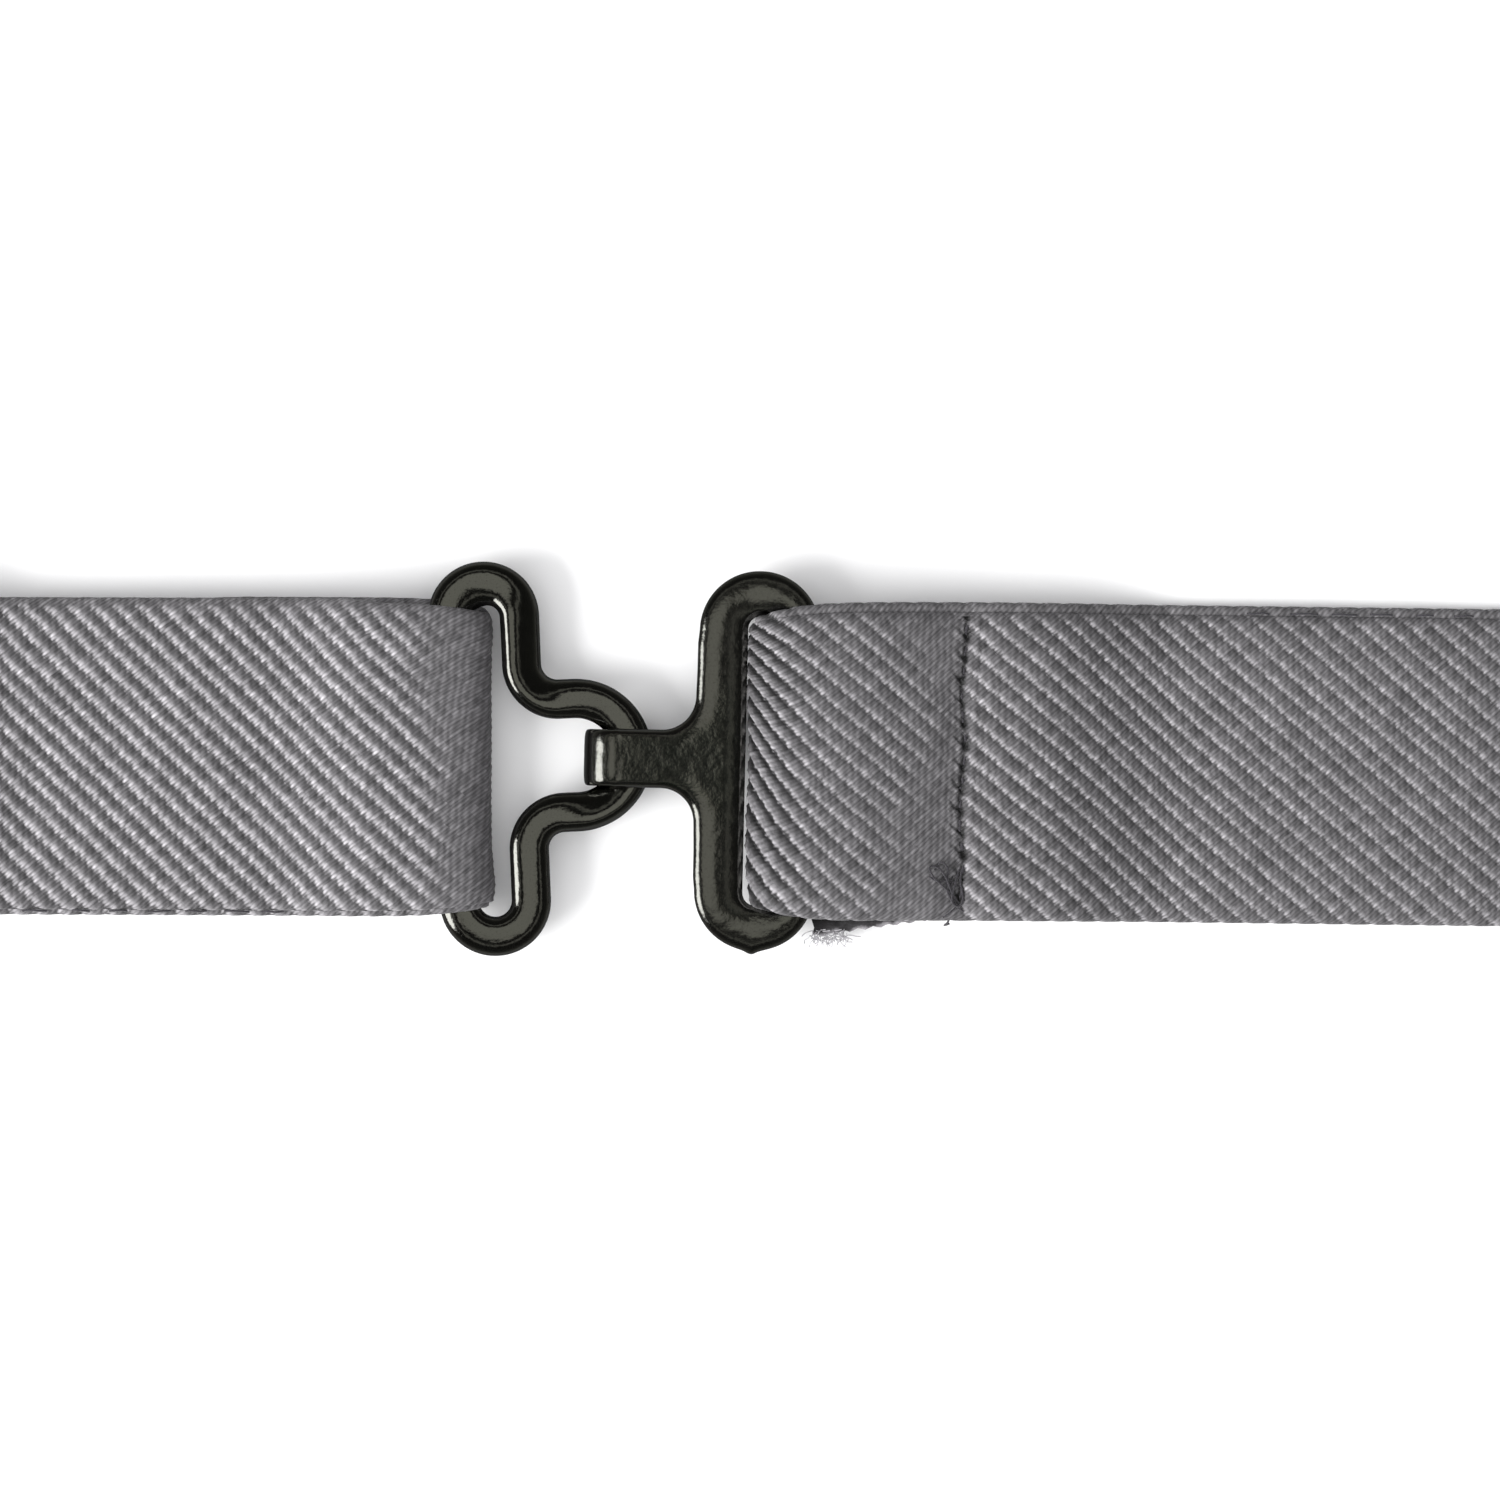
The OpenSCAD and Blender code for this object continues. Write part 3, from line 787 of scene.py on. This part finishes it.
def build_eye():
    """The eye, a flattened wire that is wider inside its upper lobe."""
    points = np.array([(x, y, 0) for x, y in eye_outline()])
    step = np.linalg.norm(np.roll(points, -1, 0) - points, axis=1)
    share = np.concatenate([[0], np.cumsum(step)[:-1]]) / step.sum()
    lean = np.interp(share, *zip(*EYE_LEANS))
    section = superellipse(1.18, 0.72, 2.7, 56)
    verts, faces = sweep(points, section, closed=True, roll=np.radians(lean),
                         inner=1 + 0.3 * bump(share, 0.2, 0.045))
    yaw = Matrix.Rotation(EYE_YAW, 3, "Z")
    centre = EYE_BAR - yaw @ Vector((-2.09, 0.05, 0))
    placed = [tuple(yaw @ Vector(v) + centre) for v in verts]
    piece = new_object("eye_wire", placed, faces)
    finish_piece(piece, "eye", ["eye"], nickel)


# -------- the hook

HOOK_BAR, HOOK_YAW = hinge("right_band_swing")
HOOK_PITCH, FRONT_PITCH = math.radians(6), math.radians(8.4)
PLATE_HALF_T, PLATE_ROUND_R = 0.55, 0.42
HOOK_LOBE_X, HOOK_LOBE_Y, HOOK_LOBE_R = -2.44, 7.78, 3.56
SLOT_FRONT, PLATE_FRONT, SLOT_HALF = -3.18, -6.12, 8.72
TONGUE_HALF_W, CURL_X, CURL_R, LIP_LEN = 1.7, -11.1, 1.255, 2.6
NECK_R = 2.1
REMESH_MM = 0.075
DOME_WIDTH, DOME_SHARE = 1.35, 0.4
SKIN_MM = 0.05                  # what smoothing takes off the plate's rim
BEND_X = -3.0                   # in front of this the plate rises, and behind it is level


def plate_outline():
    """Outer outline of the T-shaped plate, anticlockwise from its rear, tongue along -X."""
    half = [(1.0, 0.0), (1.0, 5.0)]
    half += arc(HOOK_LOBE_X, HOOK_LOBE_Y, HOOK_LOBE_R, -8, 180, 60)
    half += [(PLATE_FRONT + 0.04, y) for y in (7.0, 5.5)]
    neck_y = TONGUE_HALF_W + NECK_R
    half += arc(PLATE_FRONT - NECK_R, neck_y, NECK_R, 0, -90, 20)
    half += [(CURL_X + 1.5, TONGUE_HALF_W), (CURL_X, TONGUE_HALF_W)]
    low = []
    for x, y in half[::-1]:
        # A small cast point at the end of the lower lobe
        away = math.degrees(math.atan2(x - HOOK_LOBE_X + 0.1, y - HOOK_LOBE_Y))
        grow = 1 + 0.07 * math.exp(-abs(away / 5.5) ** 1.3) if y > HOOK_LOBE_Y else 1
        low.append((HOOK_LOBE_X + (x - HOOK_LOBE_X) * grow, -(HOOK_LOBE_Y + (y - HOOK_LOBE_Y) * grow)))
    return half + low


def slot_outline():
    """The slot that the band passes through, between the front and the rear bar."""
    r = 0.8
    back = -1.05
    pts = arc(SLOT_FRONT + r, SLOT_HALF - r, r, 90, 180, 8)
    pts += arc(SLOT_FRONT + r, -SLOT_HALF + r, r, 180, 270, 8)
    pts += arc(back - 0.4, -SLOT_HALF + 0.4, 0.4, -90, 0, 5)
    pts += arc(back - 0.4, SLOT_HALF - 0.4, 0.4, 0, 90, 5)
    return pts


def worked_out(name, data, modifiers=()):
    """The points and faces of a curve or mesh, once its settings and modifiers are applied."""
    holder = linked(name, data)
    for kind, settings in modifiers:
        modifier = holder.modifiers.new(kind.lower(), kind)
        for key, value in settings.items():
            setattr(modifier, key, value)
    graph = bpy.context.evaluated_depsgraph_get()
    mesh = bpy.data.meshes.new_from_object(holder.evaluated_get(graph))
    verts = np.array([v.co[:] for v in mesh.vertices])
    faces = [tuple(p.vertices) for p in mesh.polygons]
    bpy.data.batch_remove([holder, mesh, data])
    return verts, faces


def filled_curve(outlines):
    """A plate with rounded rims from closed outlines, as a mesh in millimetres."""
    curve = bpy.data.curves.new("outline", "CURVE")
    curve.dimensions = "2D"
    curve.fill_mode = "BOTH"
    curve.extrude = PLATE_HALF_T - PLATE_ROUND_R
    curve.bevel_depth = PLATE_ROUND_R
    curve.bevel_resolution = 5
    curve.offset = SKIN_MM - PLATE_ROUND_R
    for outline in outlines:
        line = curve.splines.new("POLY")
        line.points.add(len(outline) - 1)
        for point, (x, y) in zip(line.points, outline):
            point.co = (x, y, 0, 1)
        line.use_cyclic_u = True
    return worked_out("outline", curve)


def strip_sweep(path_xz, half_w, half_t, power=5):
    """A strip of rectangular section, lying across Y, along a path in the X-Z plane."""
    p = np.asarray(path_xz, float)
    t = unit(np.gradient(p, axis=0))
    ring = superellipse(half_w, 1.0, power, 32)
    half_t = np.broadcast_to(half_t, len(p))
    verts = [(x - tz * r[1] * h, r[0], z + tx * r[1] * h)
             for (x, z), (tx, tz), h in zip(p, t, half_t) for r in ring]
    return np.array(verts), tube_faces(len(p), len(ring))


def tongue_strip():
    path = [(CURL_X + 4.0, 0.0), (CURL_X + 2.5, 0.0), (CURL_X + 1.0, 0.0)]
    path += [(CURL_X - CURL_R * math.sin(a), -CURL_R + CURL_R * math.cos(a))
             for a in np.radians(np.linspace(0, 180, 26))]
    path += [(CURL_X + LIP_LEN * k, -2 * CURL_R) for k in (0.35, 0.7, 1.0, 1.1)]
    # As thick as the plate where it leaves it, thinner round the curl and thinnest at the lip
    thick = [PLATE_HALF_T] * 3 + [max(0.4, PLATE_HALF_T - 0.012 * k) for k in range(len(path) - 5)]
    thick += [0.36, 0.22]
    return strip_sweep(path, TONGUE_HALF_W, thick)


def remeshed(name, parts, smooth_rounds):
    """Fuses parts that overlap into one skin and softens their joins."""
    verts, faces = join_parts(parts)
    mesh = bpy.data.meshes.new(name)
    mesh.from_pydata(verts.tolist(), [], faces)
    return worked_out(name, mesh, [("REMESH", {"mode": "VOXEL", "voxel_size": REMESH_MM}),
                                   ("SMOOTH", {"factor": 0.5, "iterations": smooth_rounds})])


def rim_distance(verts, outlines, step=0.06):
    """How far each point is from the nearest of the closed outlines, seen from above."""
    marks = []
    for outline in outlines:
        for (x0, y0), (x1, y1) in zip(outline, outline[1:] + outline[:1]):
            count = max(1, int(math.hypot(x1 - x0, y1 - y0) / step))
            marks += [(x0 + (x1 - x0) * k / count, y0 + (y1 - y0) * k / count, 0) for k in range(count)]
    tree = kdtree.KDTree(len(marks))
    for k, mark in enumerate(marks):
        tree.insert(mark, k)
    tree.balance()
    return np.array([tree.find((x, y, 0))[2] for x, y, _ in verts])


def build_hook():
    """The stamped plate and its curled tongue, as one skin."""
    outlines = [plate_outline(), slot_outline()]
    verts, faces = remeshed("hook", [filled_curve(outlines), tongue_strip()], 6)
    # The upper face falls away gently towards every rim of the plate
    fall = np.clip(1 - rim_distance(verts, outlines) / DOME_WIDTH, 0, 1) ** 2
    fall *= smoothstep(-8.5, -6.5, verts[:, 0]) * (verts[:, 2] > 0)
    verts[:, 2] *= 1 - DOME_SHARE * fall
    # The front rises a little more than the plate as a whole, and the lobes lie level
    run = np.linspace(-14, 2, 400)
    slope = math.tan(FRONT_PITCH) * smoothstep(BEND_X + 0.9, BEND_X - 1.5, run)
    height = np.cumsum(slope[::-1])[::-1] * (run[1] - run[0])
    verts[:, 2] += np.interp(verts[:, 0], run, height) + math.tan(HOOK_PITCH) * verts[:, 0]
    turn = Matrix.Rotation(HOOK_YAW, 3, "Z") @ Matrix.Rotation(HOOK_PITCH, 3, "Y")
    rotated = verts @ np.array(turn).T + np.array(HOOK_BAR)
    piece = new_object("hook_plate", rotated, faces)
    finish_piece(piece, "hook", ["hook"], nickel_plate)


# -------- sewing

def thread_piece(name, runs, radius, sides=8):
    """Stitches or fibres in one piece, each with its own run of points."""
    verts, faces = join_parts([tube(run, radius, sides) for run in runs])
    return new_object(name, verts, faces)


def on_face(band, x, y, lift, extra=None):
    """A point on the face of a band, in millimetres."""
    s = np.array([band.s_on_face(x)])
    raised = lift + BAND_HALF_T
    if extra is not None:
        raised = raised + float(extra(s, np.array([y]), np.array([BAND_HALF_T]))[0])
    return tuple(band.place(s, np.array([y]), np.array([raised]))[0])


def build_cross_seam():
    """The stitches across the face of the right band, and their lower runs."""
    runs = []
    rng = random.Random(5)
    for k in range(13):
        y0 = SEAM_LOW_Y + STITCH_PITCH * k + 0.12
        y1 = y0 + STITCH_PITCH - 0.24
        pts = []
        for share, lift in ((0, -0.25), (0.15, -0.04), (0.5, 0.03), (0.85, -0.04), (1, -0.25)):
            y = y0 + (y1 - y0) * share
            x = float(seam_line(y)) + rng.uniform(-0.05, 0.05) + 0.08 * (share - 0.5)
            pts.append(on_face(RIGHT, x, y, lift, right_lift))
        runs.append(pts)
        runs.append([(float(seam_line(y)), y * 0.985, 0.2) for y in np.linspace(y0, y1, 4)])
    piece = thread_piece("cross_seam", runs, 0.1)
    finish_piece(piece, "right_band", ["right_cross_seam"], thread_dark)


def build_knot():
    """The loops and the short tail in which the seam's thread ends."""
    loops = [
        [(20.6, -8.3, .0), (19.6, -7.5, .25), (18.9, -6.8, .3), (18.8, -6.4, .25), (19.3, -6.3, .25),
         (19.6, -6.9, .3), (20.1, -7.9, .25), (20.7, -8.6, .0)],
        [(20.7, -6.2, .0), (20.4, -7.2, .25), (20.1, -8.2, .3), (20.5, -8.7, .2), (20.9, -8.1, .15),
         (20.6, -7.0, .2), (20.9, -6.1, .0)],
        [(19.0, -6.6, .1), (19.5, -6.1, .25), (19.9, -6.6, .25), (19.7, -7.4, .2), (20.2, -8.3, .2)],
        [(20.5, -8.5, .1), (20.0, -9.0, .2), (19.6, -9.3, .0)],
        [(18.7, -6.9, .0), (19.3, -7.3, .2), (19.9, -7.2, .2), (20.5, -7.6, .1)],
        [(20.2, -6.6, .0), (20.0, -7.6, .2), (20.3, -8.6, .2), (20.8, -8.9, .0)],
    ]
    rng = random.Random(3)
    runs = [[on_face(RIGHT, x + rng.uniform(-0.12, 0.12), y + rng.uniform(-0.12, 0.12), lift - 0.05,
                     right_lift) for x, y, lift in loop] for loop in loops]
    runs.append([(20.1, -9.5, 1.3), (20.0, -9.9, 0.9), (19.8, -10.1, 0.5), (20.1, -10.0, 0.35)])
    piece = thread_piece("seam_knot_loops", runs, 0.062)
    finish_piece(piece, "right_band", ["seam_knot"], thread_dark)


def build_slip_stitches():
    """Small hand stitches that close the tubes along one edge."""
    rng = random.Random(9)
    for name, band, y, start, end, body, node in (
            ("right_edge_sewing", RIGHT, 9.1, 38.0, 86.0, "right_band", "right_slip_stitches"),
            ("left_edge_sewing", LEFT, -9.28, -35.5, -21.0, "left_band", "left_slip_stitches")):
        runs = []
        x = start
        while x < end:
            long = rng.uniform(0.9, 1.7)
            runs.append([on_face(band, x + long * k, y + rng.uniform(-0.04, 0.04), lift)
                         for k, lift in ((0, -0.3), (0.3, -0.12), (0.7, -0.12), (1, -0.3))])
            x += rng.uniform(2.2, 3.0)
        piece = thread_piece(name, runs, 0.07, 6)
        finish_piece(piece, body, [node], thread_dark)


def build_overcast():
    """Slanting stitches round the raw ends, where the rest of the neckband is sewn on."""
    for name, end_x, dir_x, body, node in (
            ("left_overcast", -BAND_END_X, -1, "left_band", "left_end_overcast"),
            ("right_overcast", BAND_END_X, 1, "right_band", "right_end_overcast")):
        runs = []
        inner = end_x - dir_x * 1.7
        for k in range(-6, 7):
            y = k * 1.42
            runs.append([(inner, y - 0.4, 1.16), (inner + dir_x * 0.5, y - 0.25, 1.42),
                         (end_x + dir_x * 0.1, y + 0.2, 1.36), (end_x + dir_x * 0.2, y + 0.3, 0.7),
                         (end_x + dir_x * 0.02, y + 0.45, 0.12), (inner + dir_x, y + 0.7, 0.08)])
        piece = thread_piece(name, runs, 0.1)
        finish_piece(piece, body, [node], thread_dark)


def build_hem():
    """The raw end turned back between the layers: a thin ply whose frayed corner looks out."""
    xs = np.linspace(HEM_X, 22.4, 46)
    ys = np.linspace(-1, 1, 40)
    verts = []
    for x in xs:
        low_y = -10.75 + HEM_SLOPE * (x - HEM_X) if x < 19.6 else -9.3
        low_y += 0.08 * math.sin(7 * x)
        for t in ys:
            y = low_y + (8.9 - low_y) * (t + 1) / 2
            droop = -0.55 * float(smoothstep(-9.2, -10.7, y)) * float(smoothstep(20, 12, x))
            z = 1.85 + droop + 0.05 * math.sin(2.1 * x + 3 * y)
            verts.append((x + 0.25 * math.sin(y * 2.3) * float(smoothstep(14, HEM_X, x)), y, z))
    faces = grid_faces(len(xs), len(ys))
    piece = new_object("turned_hem", verts, faces)
    finish_piece(piece, "right_band", ["right_turned_hem"], raw_edge)


def build_fray():
    """Loose fibres at the raw corner."""
    rng = random.Random(21)
    runs = []
    for _ in range(60):
        x = rng.uniform(HEM_X, 14.0)
        y = rng.uniform(-10.9, -10.3)
        z = rng.uniform(0.9, 1.7)
        pts = [(x, y, z)]
        angle = rng.uniform(-2.6, -0.4)
        for _ in range(3):
            angle += rng.uniform(-0.8, 0.8)
            x += 0.28 * math.cos(angle)
            y += 0.2 * math.sin(angle)
            z = max(0.12, z + rng.uniform(-0.3, 0.15))
            pts.append((x, y, z))
        runs.append(pts)
    piece = thread_piece("hem_fray", runs, 0.028, 5)
    finish_piece(piece, "right_band", (), lint)


# -------- the adjuster

ADJ_LOW, ADJ_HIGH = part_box("adjuster_slide")
ADJ_X = (ADJ_LOW.x + ADJ_HIGH.x) / 2 / MM
BAR_GAP, BAR_R, RAIL_Y = 5.8, 0.5, 10.6
OUTER_Z = ADJ_HIGH.z / MM - 0.55
CENTRE_Z = ADJ_LOW.z / MM + 0.55


def rail_height(x):
    """The slide's frame stands up on both sides of its centre bar."""
    return CENTRE_Z + (OUTER_Z - CENTRE_Z) * float(smoothstep(1.0, 3.9, abs(x)))


def build_adjuster():
    """The slide: a rounded frame of wire with a bar across its middle."""
    corner = 1.1
    half = [(x, RAIL_Y) for x in np.linspace(-BAR_GAP + corner, BAR_GAP - corner, 40)]
    half += arc(BAR_GAP - corner, RAIL_Y - corner, corner, 90, 0, 10)[1:]
    half += [(BAR_GAP, y) for y in np.linspace(RAIL_Y - corner, -RAIL_Y + corner, 24)[1:-1]]
    half += arc(BAR_GAP - corner, -RAIL_Y + corner, corner, 0, -90, 10)
    loop = half + [(-x, -y) for x, y in half[1:-1]]
    frame_loop = sweep([(ADJ_X + x, y, rail_height(x)) for x, y in loop],
                       superellipse(0.6, 0.5, 2.8, 28), closed=True)
    bar = sweep([(ADJ_X, y, CENTRE_Z) for y in np.linspace(-RAIL_Y, RAIL_Y, 30)],
                superellipse(BAR_R, BAR_R, 2, 28))
    verts, faces = join_parts([frame_loop, bar])
    piece = new_object("adjuster_frame", verts, faces)
    finish_piece(piece, "adjuster", ["adjuster_slide"], nickel)


def build_tape_end():
    """The far end of the band, looped round the centre bar and sewn to itself."""
    low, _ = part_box("adjuster_tape_end")
    r = (CENTRE_Z - low.z / MM) - 0.3
    path = [(x, CENTRE_Z - r) for x in (9, 6, 3, 1)]
    path += [(-r * math.sin(a), CENTRE_Z - r * math.cos(a)) for a in np.radians(np.linspace(0, 180, 24))]
    path += [(1.0, CENTRE_Z + r * 0.98), (2.3, CENTRE_Z + 0.25)]
    path += [(x, CENTRE_Z - r + 0.6) for x in (3.8, 6, 8.2)]
    smooth = spline([(ADJ_X + x, 0, z) for x, z in path], 4)[:, [0, 2]][::-1]
    tape = Band(smooth, 45.0)
    y, n, s, u, v, faces = cloth_grid(tape, 9.3, 0.26, 0.6, 0.95, -9.1)
    verts = tape.place(s, y, -(n + np.sign(n) * 0.05 * rib_lift(u, BROAD_RIB)))
    piece = new_object("adjuster_tape", verts.reshape(-1, 3), faces,
                       uv={"cloth": pairs(u, v), "relief_and_painted_light": np.zeros((u.size, 2))})
    tidy_mesh(piece)
    finish_piece(piece, "adjuster", ["adjuster_tape_end"], silk_left)
    top = CENTRE_Z - r + 0.6 + 0.36
    runs = []
    for k in range(13):
        y0 = -8.3 + STITCH_PITCH * k
        runs.append([(ADJ_X + 6, y0, top - 0.1), (ADJ_X + 6, y0 + 0.25, top + 0.03),
                     (ADJ_X + 6.03, y0 + 0.8, top + 0.03), (ADJ_X + 6, y0 + 1.05, top - 0.1)])
    seam = thread_piece("adjuster_sewing", runs, 0.09)
    finish_piece(seam, "adjuster", ["adjuster_tape_stitches"], thread_dark)


# -------- the stage

VIEW_CENTRE = (8.1 * MM, 0.45 * MM)     # what the camera looks straight down at
VIEW_WIDTH = 90 * MM
CAMERA_Z = 0.5
SENSOR_MM = 36

# What the metal mirrors at an angle from straight up: degrees, radiance
STUDIO = ((0, 0.5), (13, 0.5), (15, 0.012), (23, 0.012), (25.5, 0.28), (28.5, 0.28), (31, 0.015),
          (60, 0.03), (75, 0.08), (90, 0.2))
FILL_BEARING, FILL_HEIGHT, FILL_LEVELS = math.radians(232), math.radians(35), (0.15, 1.45)
KEY_BEARING, KEY_HEIGHT, KEY_FAR = math.radians(203), math.radians(32), 0.7
# The softbox, as the metal mirrors it
GLINT_BEARING, GLINT_HEIGHT = math.radians(193), math.radians(38)
GLINT_RADIUS, GLINT_EDGE, GLINT_LEVEL = 19, 3, 4.6


def direction(bearing, height):
    """A unit vector at a bearing from X and a height above the floor."""
    return Vector((math.cos(bearing) * math.cos(height), math.sin(bearing) * math.cos(height),
                   math.sin(height)))


def build_world():
    """A dark studio mirrored by the metal, with a pale panel overhead and a softbox, and a fill
    for everything else."""
    world = bpy.data.worlds.new("studio")
    bpy.context.scene.world = world
    n = Nodes(world)
    n.tree.nodes.clear()
    n.tree.nodes.new("ShaderNodeOutputWorld")
    where = n.add("TexCoord", output="Generated")
    top = max(level for _, level in STUDIO)

    def towards(bearing, height, *span):
        """A level that follows the cosine of the angle to a source."""
        near = n.add("VectorMath", where, direction(bearing, height), operation="DOT_PRODUCT",
                     output="Value")
        return n.add("MapRange", near, *span)

    angle = n.math("ARCCOSINE", n.split(where)[2]) / (math.pi / 2)
    room = n.ramp(angle, [(degrees / 90, (level / top, level / top, 0.9 * level / top))
                          for degrees, level in STUDIO], "LINEAR")
    glint = towards(GLINT_BEARING, GLINT_HEIGHT, math.cos(math.radians(GLINT_RADIUS)),
                    math.cos(math.radians(GLINT_RADIUS - GLINT_EDGE)), 0, GLINT_LEVEL / top)
    mirrored = n.add("Background", n.add("VectorMath", glint, room, operation="ADD"), top)
    # The fill is a large soft source on the near left side
    fill = towards(FILL_BEARING, FILL_HEIGHT, -1, 1, *FILL_LEVELS)
    n.end(n.add("Background", (1.0, 1.0, 1.01, 1), fill), mirrored)


def build_floor():
    """White paper; glossy rays see it as a dark grey, so the metal mirrors it as dark: a painted reflection.
    """
    verts = [(x * 3000, y * 3000, -0.02) for x, y in ((-1, -1), (1, -1), (1, 1), (-1, 1))]
    floor = new_object("floor", verts, [(0, 1, 2, 3)], smooth=False)
    n = Nodes(bpy.data.materials.new("paper"))
    paper = n.surface(Base_Color=(0.93, 0.93, 0.93, 1), Roughness=0.9, Specular_IOR_Level=0.1)
    n.end(Value(n, n.tree.nodes["Principled BSDF"].outputs[0]),
          n.add("BsdfDiffuse", (0.12, 0.12, 0.12, 1)))
    floor.data.materials.append(paper)


def build_key():
    """The main light, a softbox on the left."""
    light = bpy.data.lights.new("key", "AREA")
    light.shape = "RECTANGLE"
    light.size, light.size_y = 0.42, 0.34
    light.energy = 6.5
    holder = linked("key", light)
    target = Vector((*VIEW_CENTRE, 0))
    holder.location = direction(KEY_BEARING, KEY_HEIGHT) * KEY_FAR + target
    holder.rotation_euler = (target - holder.location).to_track_quat("-Z", "Y").to_euler()
    holder.visible_glossy = False


def build_stage():
    scene = bpy.context.scene
    build_world()
    build_floor()
    build_key()
    camera = bpy.data.cameras.new("camera")
    camera.sensor_width = SENSOR_MM
    # The view is as wide as VIEW_WIDTH at the height of the clasp
    camera.lens = SENSOR_MM * (CAMERA_Z - 2 * MM) / VIEW_WIDTH
    camera.clip_start, camera.clip_end = 0.01, 10
    holder = linked("camera", camera)
    holder.location = (*VIEW_CENTRE, CAMERA_Z)
    scene.camera = holder
    scene.view_settings.view_transform = "Standard"
    scene.view_settings.look = "None"


build_stage()
build_bands()
build_eye()
build_hook()
build_cross_seam()
build_knot()
build_slip_stitches()
build_overcast()
build_hem()
build_fray()
build_adjuster()
build_tape_end()
